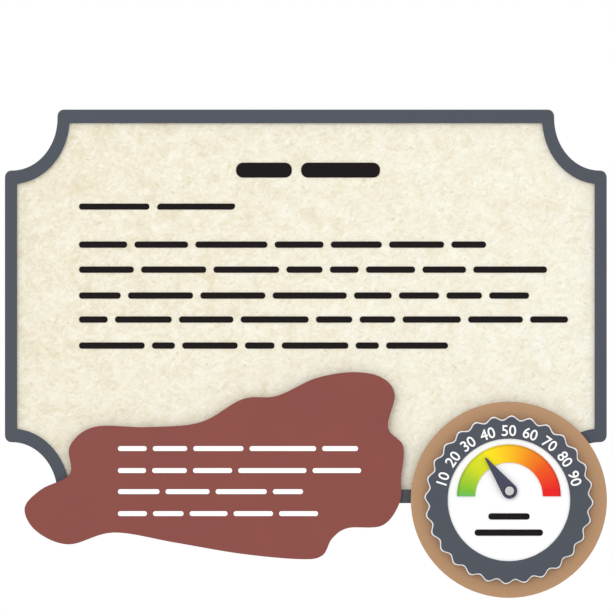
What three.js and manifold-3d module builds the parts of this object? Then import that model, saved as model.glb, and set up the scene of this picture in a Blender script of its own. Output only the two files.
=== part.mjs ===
// A wall-hung information sign: a framed face panel with notched corners on a backing board,
// with a hide-shaped plate and a round status dial standing proud of its lower corners.
// Millimetres, +X right, +Z up and -Y out of the wall. The origin is on the wall, at the
// middle of the back face of the hanging rail's lip.
import * as THREE from 'three';
import { mergeVertices } from 'three/addons/utils/BufferGeometryUtils.js';
import Module from 'manifold-3d';

const wasm = await Module();
wasm.setup();

// Clearances
const GAP = 0.3; // left between pieces that touch
const OVERRUN = 2; // how far a cutter runs past the face that it opens

// Plaque: the outline that the frame, panel and board share
const PLAQUE_WIDTH = 457.2;
const PLAQUE_HEIGHT = 299;
const CORNER_X = 4.7; // round of the outer corners, slightly taller than wide
const CORNER_Y = 5.2;
const NOTCH_IN_X = 5.3; // notch centre, in from the outline's corner
const NOTCH_IN_Y = 6.7;
const NOTCH_SEMI_X = 34.6; // notch radii on the outer edge of the frame
const NOTCH_SEMI_Y = 39.6;
const NOTCH_STEPS = 18;
const CORNER_STEPS = 4;

// Frame: a rim round the board and a front lip over the panel
const BAND_SIDE = 9.2; // width of the lip at the sides
const BAND_END = 10.3; // width of the lip at the top and bottom
const RIM_WALL = 3;

// Layers, as thickness, from the back of the board to the front of the pointer
const BOARD_THICK = 12;
const PANEL_THICK = 3;
const LIP_THICK = 2.5;
const HIDE_THICK = 3;
const DISC_THICK = 4;
const DIAL_PLATE_THICK = 2;
const DIAL_RING_THICK = 1;
const SCALE_THICK = 0.8;
const POINTER_THICK = 2;
const POINTER_OVER_DIAL = 1.5; // air between the dial plate and the pointer

// Levels that follow, measured forward from the back of the board
const PANEL_BACK = BOARD_THICK + GAP;
const LIP_BACK = PANEL_BACK + PANEL_THICK + GAP;
const LIP_FRONT = LIP_BACK + LIP_THICK;
const PROUD_BACK = LIP_FRONT + GAP; // back of the hide plate and of the badge disc
const DIAL_PLATE_BACK = PROUD_BACK + DISC_THICK + GAP;
const DIAL_BACK = DIAL_PLATE_BACK + DIAL_PLATE_THICK + GAP; // back of the ring and the scale
const POINTER_BACK = DIAL_PLATE_BACK + DIAL_PLATE_THICK + POINTER_OVER_DIAL;

// Hanging rail: a Z-shaped strip whose lip hooks over a wall cleat
const STAND_OFF = 9; // board's back to the wall
const RAIL_ABOVE_CENTRE = 95; // lip's middle above the plaque's centre
const RAIL_LENGTH = 300;
const RAIL_THICK = 3;
const LIP_HEIGHT = 21;
const FLANGE_HEIGHT = 22;
const RAIL_SCREW_X = [-120, -50, 50, 120];

// Rubber feet low on the board's back
const BUMPER_RADIUS = 9;
const BUMPER_X = 170;
const BUMPER_Y = -118;

// Screws and the spacers between the panel and the plates that stand proud of it
const FRAME_SCREW = { shank: 1.2, head: 2.8, headDepth: 1.8, length: LIP_BACK + 1.6 };
const PLATE_SCREW = { shank: 2, head: 3.8, headDepth: 2.4, length: PROUD_BACK + 2 };
const RAIL_SHANK = 2;
const PAN_RADIUS = 4;
const PAN_HEIGHT = 2.2;
const RAIL_SCREW_BITE = 9; // length of a rail screw inside the board
const SPACER_RADIUS = 8;
const SCREW_SIDES = 12;
const FRAME_SCREW_IN = 6.9; // from the outline's edge
const FRAME_SCREW_X = 110; // along the top and bottom bands
const FRAME_SCREW_Y = 55; // along the side bands

// Hide plate: its outline round the four legs and the neck, from the plaque's centre
const HIDE_OUTLINE = [
  [35, -50], [57, -53.7], [67.5, -66.8], [62.4, -92], // right fore leg
  [74, -106.3], [72.4, -130], [71.3, -149], [58.2, -166.4], // neck
  [32, -168.4], [20, -176.4], [12.3, -189.4], [-5, -192], // left fore leg
  [-50, -187.8], [-100, -179.3], [-146, -171.8], // left flank
  [-180, -180.8], [-204.6, -170.8], [-213.6, -153.4], [-201, -139], // left hind leg
  [-179.4, -127.5], [-179.2, -106], [-160.4, -91.5], [-120, -91.7], // right hind leg
  [-80, -88], [-48.2, -70.5], [-22, -68], [7, -54.8], // right flank
];
const HIDE_STEPS = 8; // straight steps between two of its points
const HIDE_SCREWS = [[-155, -112], [-60, -112], [42, -78], [42, -118]];

// Badge: a disc that carries the dial, from the plaque's centre
const BADGE_X = 154.2;
const BADGE_Y = -146.9;
const BADGE_RADIUS = 74.5;
const BADGE_SIDES = 80;
const BADGE_SCREW_RADIUS = 50;
const BADGE_SCREW_ANGLES = [60, 100, 140];

// Dial: scalloped plate and ring, a half-ring scale and a pointer, from the badge's centre
const LOBES = 28;
const LOBE_PHASE = 10.9; // direction of the first lobe's tip, in degrees
const LOBE_HEIGHT = 1.6; // tips above and valleys below the mean radius
const LOBE_STEPS = 8;
const RING_RADIUS = 61.6;
const RING_HOLE = 46.5;
const PLATE_MARGIN = 1; // dial plate showing outside the ring
const SCALE_UP = 2.7;
const SCALE_INNER = 25.7;
const SCALE_OUTER = 39.4;
const SCALE_STEPS = 30;
const HUB_SIDE = 0.4;
const HUB_UP = 6.8;
const HUB_RADIUS = 5.9;
const HUB_STEPS = 24;
const POINTER_LENGTH = 31.2;
const POINTER_TIP = 0.5; // half the width of the blunt tip
const POINTER_TURN = 36; // left of straight up
const SEAT_RADIUS = 4.25; // recess in the pointer round the pin's head
const SEAT_DEPTH = 0.6;
const PIN_RADIUS = 2;
const PIN_HEAD_RADIUS = 3.45;
const PIN_HEAD_HEIGHT = 1;
const PIN_HEAD_CHAMFER = 0.25;
const PIN_COLLAR_RADIUS = 4;
const PIN_BITE = 3; // length of the pin inside the badge disc

const rad = THREE.MathUtils.degToRad;

const finish = (hex, roughness, metalness) =>
  new THREE.MeshStandardMaterial({ color: hex, roughness, metalness });

const SLATE = finish(0x555962, 0.55, 0.3);
const PARCHMENT = finish(0xf4efdb, 0.8, 0);
const BOARD = finish(0xa98a62, 0.8, 0);
const HIDE = finish(0x90544d, 0.55, 0);
const TAN = finish(0xb28e6c, 0.55, 0);
const WHITE = finish(0xffffff, 0.45, 0);
const SCALE = finish(0xfaa728, 0.45, 0);
const POINTER = finish(0x4e5061, 0.5, 0);
const PIN = finish(0xcbcbcb, 0.35, 0.8);
const ALUMINIUM = finish(0xb9bcc0, 0.4, 1);
const STEEL = finish(0x9a9c9f, 0.35, 1);
const RUBBER = finish(0x1c1c1d, 0.9, 0);
const SPACER = finish(0x2b2c2e, 0.7, 0);

// Everything is built seen from the front, x right, y up and z forward, with z = 0 on the
// back of the board and the plaque's centre at x = y = 0.
const sign = new THREE.Group();
sign.rotation.x = Math.PI / 2;
sign.position.set(0, -STAND_OFF, -RAIL_ABOVE_CENTRE);

function addPiece(name, geometry, material, x = 0, y = 0, z = 0) {
  const mesh = new THREE.Mesh(geometry, material);
  mesh.name = name;
  mesh.position.set(x, y, z);
  sign.add(mesh);
  return mesh;
}

function toManifold(geometry) {
  const bare = geometry.clone();
  bare.deleteAttribute('normal');
  bare.deleteAttribute('uv');
  const merged = mergeVertices(bare, 1e-4);
  return new wasm.Manifold(new wasm.Mesh({
    numProp: 3,
    vertProperties: new Float32Array(merged.attributes.position.array),
    triVerts: new Uint32Array(merged.index.array),
  }));
}

function toGeometry(manifold) {
  const { vertProperties, triVerts } = manifold.getMesh();
  const geometry = new THREE.BufferGeometry();
  geometry.setAttribute('position', new THREE.BufferAttribute(vertProperties, 3));
  geometry.setIndex(new THREE.BufferAttribute(triVerts, 1));
  geometry.computeVertexNormals();
  return geometry;
}

function cut(geometry, cutters) {
  const rest = cutters.reduce((solid, cutter) => solid.subtract(toManifold(cutter)),
    toManifold(geometry));
  return toGeometry(rest);
}

function extrude(outline, depth, holes = []) {
  const shape = new THREE.Shape(outline);
  shape.holes = holes.map((points) => new THREE.Path(points));
  return new THREE.ExtrudeGeometry(shape, { depth, bevelEnabled: false });
}

// A turned piece about the z axis, from pairs of radius and height that start and end at
// radius 0 and run upward.
function turned(profile, sides) {
  const points = profile.map(([radius, height]) => new THREE.Vector2(radius, height));
  return new THREE.LatheGeometry(points, sides).rotateX(Math.PI / 2);
}

function rod(radius, from, to, sides = SCREW_SIDES) {
  return turned([[0, from], [radius, from], [radius, to], [0, to]], sides);
}

function arcPoints(centreX, centreY, semiX, semiY, fromAngle, toAngle, steps) {
  return Array.from({ length: steps + 1 }, (_, i) => {
    const angle = fromAngle + (toAngle - fromAngle) * i / steps;
    return new THREE.Vector2(centreX + semiX * Math.cos(angle), centreY + semiY * Math.sin(angle));
  });
}

function circlePoints(radius, sides, centreX = 0, centreY = 0) {
  return arcPoints(centreX, centreY, radius, radius, 0, 2 * Math.PI, sides).slice(0, -1);
}

// The plaque's upper right corner at some inset: a rounded corner, the hollow notch and a
// rounded corner. The rounds run out to sharp corners where the inset is wider than they are.
function notchedCorner(insetX, insetY) {
  const halfX = PLAQUE_WIDTH / 2 - insetX;
  const halfY = PLAQUE_HEIGHT / 2 - insetY;
  const centreX = PLAQUE_WIDTH / 2 - NOTCH_IN_X;
  const centreY = PLAQUE_HEIGHT / 2 - NOTCH_IN_Y;
  const semiX = NOTCH_SEMI_X + insetX;
  const semiY = NOTCH_SEMI_Y + insetY;
  const roundX = Math.max(0, CORNER_X - insetX);
  const roundY = Math.max(0, CORNER_Y - insetY);
  const firstAngle = -Math.acos(Math.min(0, halfX - centreX) / semiX);
  const lastAngle = -Math.PI - Math.asin(Math.min(0, halfY - centreY) / semiY);
  const notch = arcPoints(centreX, centreY, semiX, semiY, firstAngle, lastAngle, NOTCH_STEPS);
  if (roundX === 0 || roundY === 0) return notch;
  const lowerY = centreY - semiY - roundY;
  const upperX = centreX - semiX - roundX;
  return [
    ...arcPoints(halfX - roundX, lowerY, roundX, roundY, 0, Math.PI / 2, CORNER_STEPS),
    ...notch,
    ...arcPoints(upperX, halfY - roundY, roundX, roundY, 0, Math.PI / 2, CORNER_STEPS),
  ];
}

function plaqueOutline(insetX, insetY) {
  const corner = notchedCorner(insetX, insetY);
  const flipped = (signX, signY) =>
    corner.map((point) => new THREE.Vector2(point.x * signX, point.y * signY));
  return [
    ...flipped(1, 1),
    ...flipped(-1, 1).reverse(),
    ...flipped(-1, -1),
    ...flipped(1, -1).reverse(),
  ];
}

// Countersunk screw, its flat head at z = 0 and its point forward
function countersunkScrew({ shank, head, headDepth, length }) {
  return turned([
    [0, 0], [head, 0], [shank, headDepth], [shank, length - shank], [0, length],
  ], SCREW_SIDES);
}

// The countersunk hole that leaves a gap all round that screw, open at the back
function countersink({ shank, head, headDepth }, x, y) {
  const slope = (head - shank) / headDepth;
  const clear = GAP * Math.hypot(1, slope);
  const hole = shank + GAP;
  return turned([
    [0, -OVERRUN], [head + clear + slope * OVERRUN, -OVERRUN],
    [hole, headDepth + (clear - GAP) / slope],
    [hole, BOARD_THICK + OVERRUN], [0, BOARD_THICK + OVERRUN],
  ], SCREW_SIDES).translate(x, y, 0);
}

function drillHole(shank, x, y, from, to) {
  return rod(shank + GAP, from, to).translate(x, y, 0);
}

function frameScrewPlaces() {
  const sideX = PLAQUE_WIDTH / 2 - FRAME_SCREW_IN;
  const endY = PLAQUE_HEIGHT / 2 - FRAME_SCREW_IN;
  return [
    [-FRAME_SCREW_X, endY], [FRAME_SCREW_X, endY],
    [sideX, FRAME_SCREW_Y], [sideX, -FRAME_SCREW_Y],
    [FRAME_SCREW_X, -endY], [-FRAME_SCREW_X, -endY],
    [-sideX, -FRAME_SCREW_Y], [-sideX, FRAME_SCREW_Y],
  ];
}

function badgeScrewPlaces() {
  return BADGE_SCREW_ANGLES.map((angle) => [
    BADGE_X + BADGE_SCREW_RADIUS * Math.cos(rad(angle)),
    BADGE_Y + BADGE_SCREW_RADIUS * Math.sin(rad(angle)),
  ]);
}

const frameScrews = frameScrewPlaces();
const plateScrews = [...HIDE_SCREWS, ...badgeScrewPlaces()];
const railScrewY = RAIL_ABOVE_CENTRE + (LIP_HEIGHT + FLANGE_HEIGHT) / 2;

function addBoard() {
  const outline = plaqueOutline(RIM_WALL + GAP, RIM_WALL + GAP);
  const holes = [
    ...frameScrews.map(([x, y]) => countersink(FRAME_SCREW, x, y)),
    ...plateScrews.map(([x, y]) => countersink(PLATE_SCREW, x, y)),
    ...RAIL_SCREW_X.map((x) =>
      drillHole(RAIL_SHANK, x, railScrewY, -OVERRUN, RAIL_SCREW_BITE + GAP)),
  ];
  const board = cut(extrude(outline, BOARD_THICK), holes);
  addPiece('backing_board', board, BOARD);
}

function addPanel() {
  const outline = plaqueOutline(RIM_WALL + GAP, RIM_WALL + GAP);
  const holes = [
    ...frameScrews.map(([x, y]) => circlePoints(FRAME_SCREW.shank + GAP, SCREW_SIDES, x, y)),
    ...plateScrews.map(([x, y]) => circlePoints(PLATE_SCREW.shank + GAP, SCREW_SIDES, x, y)),
  ];
  addPiece('face_panel', extrude(outline, PANEL_THICK, holes), PARCHMENT, 0, 0, PANEL_BACK);
}

// The frame's solid is the plaque's full outline, hollowed from behind for the board and
// panel and opened right through inside the lip.
function addFrame() {
  const rabbet = extrude(plaqueOutline(RIM_WALL, RIM_WALL), LIP_BACK + OVERRUN)
    .translate(0, 0, -OVERRUN);
  const opening = extrude(plaqueOutline(BAND_SIDE, BAND_END), LIP_FRONT + 2 * OVERRUN)
    .translate(0, 0, -OVERRUN);
  const pilots = frameScrews.map(([x, y]) =>
    drillHole(FRAME_SCREW.shank, x, y, LIP_BACK - OVERRUN, FRAME_SCREW.length + GAP));
  const frame = cut(extrude(plaqueOutline(0, 0), LIP_FRONT), [rabbet, opening, ...pilots]);
  addPiece('frame', frame, SLATE);
}

// The rail's section, as pairs of distance behind the board and height from the lip's
// middle, is run along x.
function addRail() {
  const back = STAND_OFF;
  const lipFront = STAND_OFF - RAIL_THICK;
  const flangeBack = GAP + RAIL_THICK;
  const lipTop = LIP_HEIGHT / 2;
  const flangeTop = lipTop + FLANGE_HEIGHT;
  const section = [
    [GAP, flangeTop], [GAP, lipTop - RAIL_THICK], [lipFront, lipTop - RAIL_THICK],
    [lipFront, -lipTop], [back, -lipTop], [back, lipTop], [flangeBack, lipTop],
    [flangeBack, flangeTop],
  ].map(([behind, up]) => new THREE.Vector2(behind, up));
  const bar = extrude(section, RAIL_LENGTH).rotateY(Math.PI / 2)
    .translate(-RAIL_LENGTH / 2, 0, 0);
  const holes = RAIL_SCREW_X.map((x) =>
    drillHole(RAIL_SHANK, x, lipTop + FLANGE_HEIGHT / 2, -flangeBack - OVERRUN, OVERRUN));
  addPiece('hanging_rail', cut(bar, holes), ALUMINIUM, 0, RAIL_ABOVE_CENTRE, 0);
}

// Pan-head screws that hold the rail, their heads towards the wall
function addRailScrews() {
  const seat = -(2 * GAP + RAIL_THICK);
  const screw = turned([
    [0, seat - PAN_HEIGHT], [0.7 * PAN_RADIUS, seat - 0.8 * PAN_HEIGHT],
    [PAN_RADIUS, seat - 0.3 * PAN_HEIGHT], [PAN_RADIUS, seat], [RAIL_SHANK, seat],
    [RAIL_SHANK, RAIL_SCREW_BITE - RAIL_SHANK], [0, RAIL_SCREW_BITE],
  ], SCREW_SIDES);
  RAIL_SCREW_X.forEach((x, i) =>
    addPiece(`rail_screw_${i + 1}`, screw, STEEL, x, railScrewY, 0));
}

function addBumpers() {
  const bumper = turned([
    [0, -STAND_OFF], [0.8 * BUMPER_RADIUS, -STAND_OFF], [BUMPER_RADIUS, -0.6 * STAND_OFF],
    [BUMPER_RADIUS, -GAP], [0, -GAP],
  ], 2 * SCREW_SIDES);
  [-BUMPER_X, BUMPER_X].forEach((x, i) =>
    addPiece(`bumper_${i + 1}`, bumper, RUBBER, x, BUMPER_Y, 0));
}

function addFrameScrews() {
  const screw = countersunkScrew(FRAME_SCREW);
  frameScrews.forEach(([x, y], i) => addPiece(`frame_screw_${i + 1}`, screw, STEEL, x, y, 0));
}

// Spacers behind a plate and the screws that pass through them into it
function addStandOffs(prefix, places) {
  const spacer = extrude(circlePoints(SPACER_RADIUS, 2 * SCREW_SIDES), LIP_THICK,
    [circlePoints(PLATE_SCREW.shank + GAP, SCREW_SIDES)]);
  const screw = countersunkScrew(PLATE_SCREW);
  places.forEach(([x, y], i) => {
    addPiece(`${prefix}_spacer_${i + 1}`, spacer, SPACER, x, y, LIP_BACK);
    addPiece(`${prefix}_screw_${i + 1}`, screw, STEEL, x, y, 0);
  });
}

function pilotHoles(places) {
  return places.map(([x, y]) =>
    drillHole(PLATE_SCREW.shank, x, y, PROUD_BACK - OVERRUN, PLATE_SCREW.length + GAP));
}

function addHidePlate() {
  const corners = HIDE_OUTLINE.map(([x, y]) => new THREE.Vector3(x, y, 0));
  const curve = new THREE.CatmullRomCurve3(corners, true, 'catmullrom', 0.5);
  const outline = curve.getPoints(corners.length * HIDE_STEPS).slice(0, -1)
    .map((point) => new THREE.Vector2(point.x, point.y));
  const blank = extrude(outline, HIDE_THICK).translate(0, 0, PROUD_BACK);
  addPiece('hide_plate', cut(blank, pilotHoles(HIDE_SCREWS)), HIDE);
  addStandOffs('hide', HIDE_SCREWS);
}

function addBadgeDisc() {
  const places = badgeScrewPlaces();
  const blank = extrude(circlePoints(BADGE_RADIUS, BADGE_SIDES, BADGE_X, BADGE_Y), DISC_THICK)
    .translate(0, 0, PROUD_BACK);
  const pinHole = rod(PIN_RADIUS + GAP, DIAL_PLATE_BACK - GAP - PIN_BITE - GAP,
    DIAL_PLATE_BACK + OVERRUN).translate(BADGE_X + HUB_SIDE, BADGE_Y + HUB_UP, 0);
  addPiece('badge_disc', cut(blank, [...pilotHoles(places), pinHole]), TAN);
  addStandOffs('badge', places);
}

function scallopPoints(meanRadius) {
  const count = LOBES * LOBE_STEPS;
  return Array.from({ length: count }, (_, i) => {
    const angle = 2 * Math.PI * i / count;
    const radius = meanRadius + LOBE_HEIGHT * Math.cos(LOBES * (angle - rad(LOBE_PHASE)));
    return new THREE.Vector2(radius * Math.cos(angle), radius * Math.sin(angle));
  });
}

function addDial() {
  const pinHole = circlePoints(PIN_RADIUS + GAP, SCREW_SIDES, HUB_SIDE, HUB_UP);
  const plate = extrude(scallopPoints(RING_RADIUS + PLATE_MARGIN), DIAL_PLATE_THICK, [pinHole]);
  addPiece('dial_plate', plate, WHITE, BADGE_X, BADGE_Y, DIAL_PLATE_BACK);
  const ring = extrude(scallopPoints(RING_RADIUS), DIAL_RING_THICK,
    [circlePoints(RING_HOLE, BADGE_SIDES)]);
  addPiece('dial_ring', ring, SLATE, BADGE_X, BADGE_Y, DIAL_BACK);
  const band = [
    ...arcPoints(0, 0, SCALE_OUTER, SCALE_OUTER, 0, Math.PI, SCALE_STEPS),
    ...arcPoints(0, 0, SCALE_INNER, SCALE_INNER, Math.PI, 0, SCALE_STEPS),
  ];
  addPiece('scale_band', extrude(band, SCALE_THICK), SCALE, BADGE_X, BADGE_Y + SCALE_UP,
    DIAL_BACK);
}

// The pointer lies straight up about its hub: a round hub whose tangents run to a blunt tip,
// with a shallow recess for the pin's head.
function addPointer() {
  const tangent = Math.acos((HUB_RADIUS - POINTER_TIP) / POINTER_LENGTH);
  const start = Math.PI / 2 + tangent;
  const outline = [
    ...arcPoints(0, 0, HUB_RADIUS, HUB_RADIUS, start, start + 2 * (Math.PI - tangent), HUB_STEPS),
    new THREE.Vector2(POINTER_TIP, POINTER_LENGTH),
    new THREE.Vector2(-POINTER_TIP, POINTER_LENGTH),
  ];
  const bore = circlePoints(PIN_RADIUS + GAP, SCREW_SIDES);
  const seat = rod(SEAT_RADIUS, POINTER_THICK - SEAT_DEPTH, POINTER_THICK + OVERRUN,
    3 * SCREW_SIDES);
  const blade = cut(extrude(outline, POINTER_THICK, [bore]), [seat]);
  const pointer = addPiece('pointer', blade, POINTER, BADGE_X + HUB_SIDE, BADGE_Y + HUB_UP,
    POINTER_BACK);
  pointer.rotation.z = rad(POINTER_TURN);
}

// The pin is a press fit in the badge disc. Its collar holds the pointer off the dial and its
// head keeps it on.
function addPin() {
  const foot = PROUD_BACK + DISC_THICK - PIN_BITE;
  const headBack = POINTER_BACK + POINTER_THICK - SEAT_DEPTH + GAP;
  const headFront = headBack + PIN_HEAD_HEIGHT;
  const pin = turned([
    [0, foot], [PIN_RADIUS, foot], [PIN_RADIUS, DIAL_BACK], [PIN_COLLAR_RADIUS, DIAL_BACK],
    [PIN_COLLAR_RADIUS, POINTER_BACK - GAP], [PIN_RADIUS, POINTER_BACK - GAP],
    [PIN_RADIUS, headBack], [PIN_HEAD_RADIUS, headBack],
    [PIN_HEAD_RADIUS, headFront - PIN_HEAD_CHAMFER],
    [PIN_HEAD_RADIUS - PIN_HEAD_CHAMFER, headFront], [0, headFront],
  ], 2 * SCREW_SIDES);
  addPiece('pointer_pin', pin, PIN, BADGE_X + HUB_SIDE, BADGE_Y + HUB_UP, 0);
}

addBoard();
addPanel();
addFrame();
addRail();
addRailScrews();
addBumpers();
addFrameScrews();
addHidePlate();
addBadgeDisc();
addDial();
addPointer();
addPin();

export default sign;
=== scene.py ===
"""Finishes a wall-hung information sign with a status dial.

The solids of the sign are loaded as a fixed frame, in metres, +X right, +Z up and -Y out of
the wall. Each operator below makes one piece, or one group of like pieces, and its finish.
"""
import math
import random

import bmesh
import bpy
from mathutils import Matrix, Vector


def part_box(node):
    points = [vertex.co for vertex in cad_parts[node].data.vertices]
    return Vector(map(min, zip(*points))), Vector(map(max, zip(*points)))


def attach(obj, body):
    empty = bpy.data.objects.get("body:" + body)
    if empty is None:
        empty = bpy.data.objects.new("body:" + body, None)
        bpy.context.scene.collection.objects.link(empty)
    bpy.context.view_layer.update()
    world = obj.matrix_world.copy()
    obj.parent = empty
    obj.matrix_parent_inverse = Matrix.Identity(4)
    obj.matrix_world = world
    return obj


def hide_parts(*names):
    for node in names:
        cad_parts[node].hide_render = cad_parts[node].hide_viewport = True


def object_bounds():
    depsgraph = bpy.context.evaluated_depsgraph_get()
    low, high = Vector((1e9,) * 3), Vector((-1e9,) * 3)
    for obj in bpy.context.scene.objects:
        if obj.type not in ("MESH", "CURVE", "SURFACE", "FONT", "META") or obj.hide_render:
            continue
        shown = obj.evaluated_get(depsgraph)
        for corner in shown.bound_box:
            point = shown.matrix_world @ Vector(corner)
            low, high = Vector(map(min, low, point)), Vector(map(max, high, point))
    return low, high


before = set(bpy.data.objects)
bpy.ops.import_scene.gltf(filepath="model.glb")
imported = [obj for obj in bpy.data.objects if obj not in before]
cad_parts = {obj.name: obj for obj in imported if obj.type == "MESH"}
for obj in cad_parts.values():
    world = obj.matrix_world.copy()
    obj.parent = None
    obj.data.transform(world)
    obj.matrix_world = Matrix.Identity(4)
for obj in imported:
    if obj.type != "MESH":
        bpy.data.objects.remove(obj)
CAD_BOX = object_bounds()

bl_info = {
    "name": "Information sign",
    "version": (1, 0, 0),
    "blender": (4, 5, 0),
    "location": "3D View > Sidebar > Sign",
    "description": "Builds the pieces and finishes of a wall-hung information sign with a dial",
    "category": "Add Mesh",
}

MM = 0.001

# The face of the sign: x right and y up from the plaque's centre, z out of the wall
FACING = Matrix.Rotation(math.radians(90), 4, "X")
PLAQUE_LOW, PLAQUE_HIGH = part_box("frame")
PLAQUE_X = (PLAQUE_LOW.x + PLAQUE_HIGH.x) / 2
PLAQUE_Z = (PLAQUE_LOW.z + PLAQUE_HIGH.z) / 2
BADGE_LOW, BADGE_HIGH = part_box("badge_disc")
BADGE_X = (BADGE_LOW.x + BADGE_HIGH.x) / 2
BADGE_Z = (BADGE_LOW.z + BADGE_HIGH.z) / 2
BADGE_RADIUS = (BADGE_HIGH.x - BADGE_LOW.x) / 2
SCALE_LOW, SCALE_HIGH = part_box("scale_band")
SCALE_X = (SCALE_LOW.x + SCALE_HIGH.x) / 2
SCALE_Z = SCALE_LOW.z
SCALE_OUTER = (SCALE_HIGH.x - SCALE_LOW.x) / 2
PIN_LOW, PIN_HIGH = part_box("pointer_pin")
PIN_X = (PIN_LOW.x + PIN_HIGH.x) / 2
PIN_Z = (PIN_LOW.z + PIN_HIGH.z) / 2
BOARD_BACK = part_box("backing_board")[1].y

# Fits and details that the solids' boxes don't give
GAP = 0.3 * MM  # left between solids that touch
LEVEL = 0.01 * MM  # heights this close count as one
SUNK = 0.1 * MM  # reach of a raised marking into what carries it
MARKING_ROUND = 0.15 * MM
MERGE = 1e-6  # corners this close, in metres, become one
FLAT_ANGLE = math.radians(0.5)  # faces that meet at less than this make one flat side
EASED_ANGLE = math.radians(30)  # edges sharper than this are rounded
CRISP_ANGLE = math.radians(38)  # shading breaks at edges sharper than this
SAME_FACING = 0.999999  # cosine between faces that look the same way
SEAT_DEPTH = 0.6 * MM  # recess in the pointer round the pin's head
PIN_SHAFT = 2 * MM
PIN_COLLAR = 4 * MM
PIN_HEAD = 3.45 * MM
# Screws as radius of the shank and depth of the head, radius and depth of the cross recess
FRAME_SCREW = (1.2 * MM, 1.8 * MM), (2.8 * MM, 1.1 * MM)
PLATE_SCREW = (2 * MM, 2.4 * MM), (3.8 * MM, 1.5 * MM)
RAIL_SCREW = (2 * MM, 2.2 * MM), (3.6 * MM, 1.4 * MM)

# Lines of the face panel as left end, right end and middle height, in millimetres from the
# plaque's centre
TITLE_LINE = (-53.0, 56.4, 103.5)
SUBTITLE_LINE = (-172.3, -53.8, 75.8)
BODY_LINES = [
    (-172.3, 136.9, 46.9), (-172.3, 183.2, 27.9), (-172.3, 169.6, 8.2),
    (-172.3, 199.2, -10.0), (-172.3, 108.0, -29.8),
]
# Lines of the hide plate
HIDE_LINES = [
    (-142.7, 39.7, -108.0), (-142.7, 42.0, -124.7), (-142.7, -2.1, -140.7),
    (-142.7, 9.3, -157.4),
]
# Lines on the dial below the pointer
STATUS_LINES = [(138.6, 170.0, -159.5), (128.2, 180.0, -171.8)]
# The usual length of a strip and the space between two, in millimetres, in each kind of line
TITLE_STRIPS = (50, 7)
SUBTITLE_STRIPS = (50, 6)
BODY_STRIPS = (38, 5.6)
HIDE_STRIPS = (30, 4.6)
STATUS_STRIPS = (60, 5)

# The dial ring's numerals: first, last and step, and the degrees from one to the next
NUMERALS = (10, 90, 10)
NUMERAL_TURN = 18
# The scale's colours, from its green end at 0 to its red end at 1
SCALE_COLOURS = [
    (0.0, (110, 194, 100)), (0.04, (128, 195, 62)), (0.14, (176, 209, 56)),
    (0.22, (213, 222, 50)), (0.3, (225, 227, 46)), (0.35, (254, 234, 33)),
    (0.5, (253, 196, 38)), (0.66, (243, 141, 42)), (0.78, (240, 95, 45)),
    (0.95, (236, 49, 48)),
]

# The camera stands far off, in metres, square to the face, for a picture this wide in pixels
PICTURE_WIDTH = 612
PIXEL = 0.75966 * MM  # on the face
CAMERA_DISTANCE = 12.0
SENSOR_WIDTH = 36.0
CAMERA_SIDE = 0.14 * MM
CAMERA_UP = 0.27 * MM
FLOOR_DROP = 0.3
FLOOR_HALF = 4.0
# Lamps as name, place, power and size
STUDIO_LIGHTS = [
    ("key", (-1.0, -2.7, 0.9), 24, 1.8),
    ("fill", (1.9, -2.2, 0.3), 6, 1.8),
    ("back", (1.4, 2.2, 1.6), 26, 1.6),
]

SIGN = "sign"
POINTER = "pointer"

# What a face that looks out of the wall gets: light, against 1 for a white background, and the
# white room's reflection in a satin surface
STUDIO_LIGHT = 1.2
SATIN_SHEEN = 0.023


def paint(red, green, blue, sheen=SATIN_SHEEN):
    """The base colour that looks like this 0 to 255 one in the studio's light."""
    def base(value):
        value /= 255
        seen = value / 12.92 if value <= 0.04045 else ((value + 0.055) / 1.055) ** 2.4
        return max(0.002, (seen - sheen) / STUDIO_LIGHT)
    return base(red), base(green), base(blue)


def length_setting(name, description, default):
    return bpy.props.FloatProperty(
        name=name, description=description, default=default, min=0, unit="LENGTH", precision=5)


def colour_setting(name, description, default):
    return bpy.props.FloatVectorProperty(
        name=name, description=description, default=default, min=0, max=1, subtype="COLOR")


class SignSizes(bpy.types.PropertyGroup):
    """Sizes that finish the sign's pieces."""

    frame_round: length_setting("Frame edge", "Round of the frame's edges", 1.0 * MM)
    plate_round: length_setting("Plate edge", "Round of the hide plate and the badge", 1.0 * MM)
    ring_round: length_setting("Ring edge", "Round of the dial ring's edges", 0.35 * MM)
    thin_round: length_setting("Thin edge", "Round of thin pieces and the board", 0.3 * MM)
    strip_relief: length_setting("Strip relief", "Height of the strips over the face", 0.5 * MM)
    title_strip: length_setting("Title strip", "Width of the title's strips", 11.4 * MM)
    subtitle_strip: length_setting("Second strip", "Width of the second line's strips", 4.6 * MM)
    body_strip: length_setting("Body strip", "Width of the body lines' strips", 4.8 * MM)
    hide_strip: length_setting("Hide strip", "Width of the strips on the hide plate", 3.8 * MM)
    status_strip: length_setting("Status strip", "Width of the strips on the dial", 4.8 * MM)
    numeral_height: length_setting("Numerals", "Height of the dial ring's numerals", 8.4 * MM)
    numeral_radius: length_setting("Numeral circle", "Radius of their middles", 52.6 * MM)
    numeral_weight: length_setting("Numeral weight", "Added thickness of strokes", 0.12 * MM)


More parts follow.
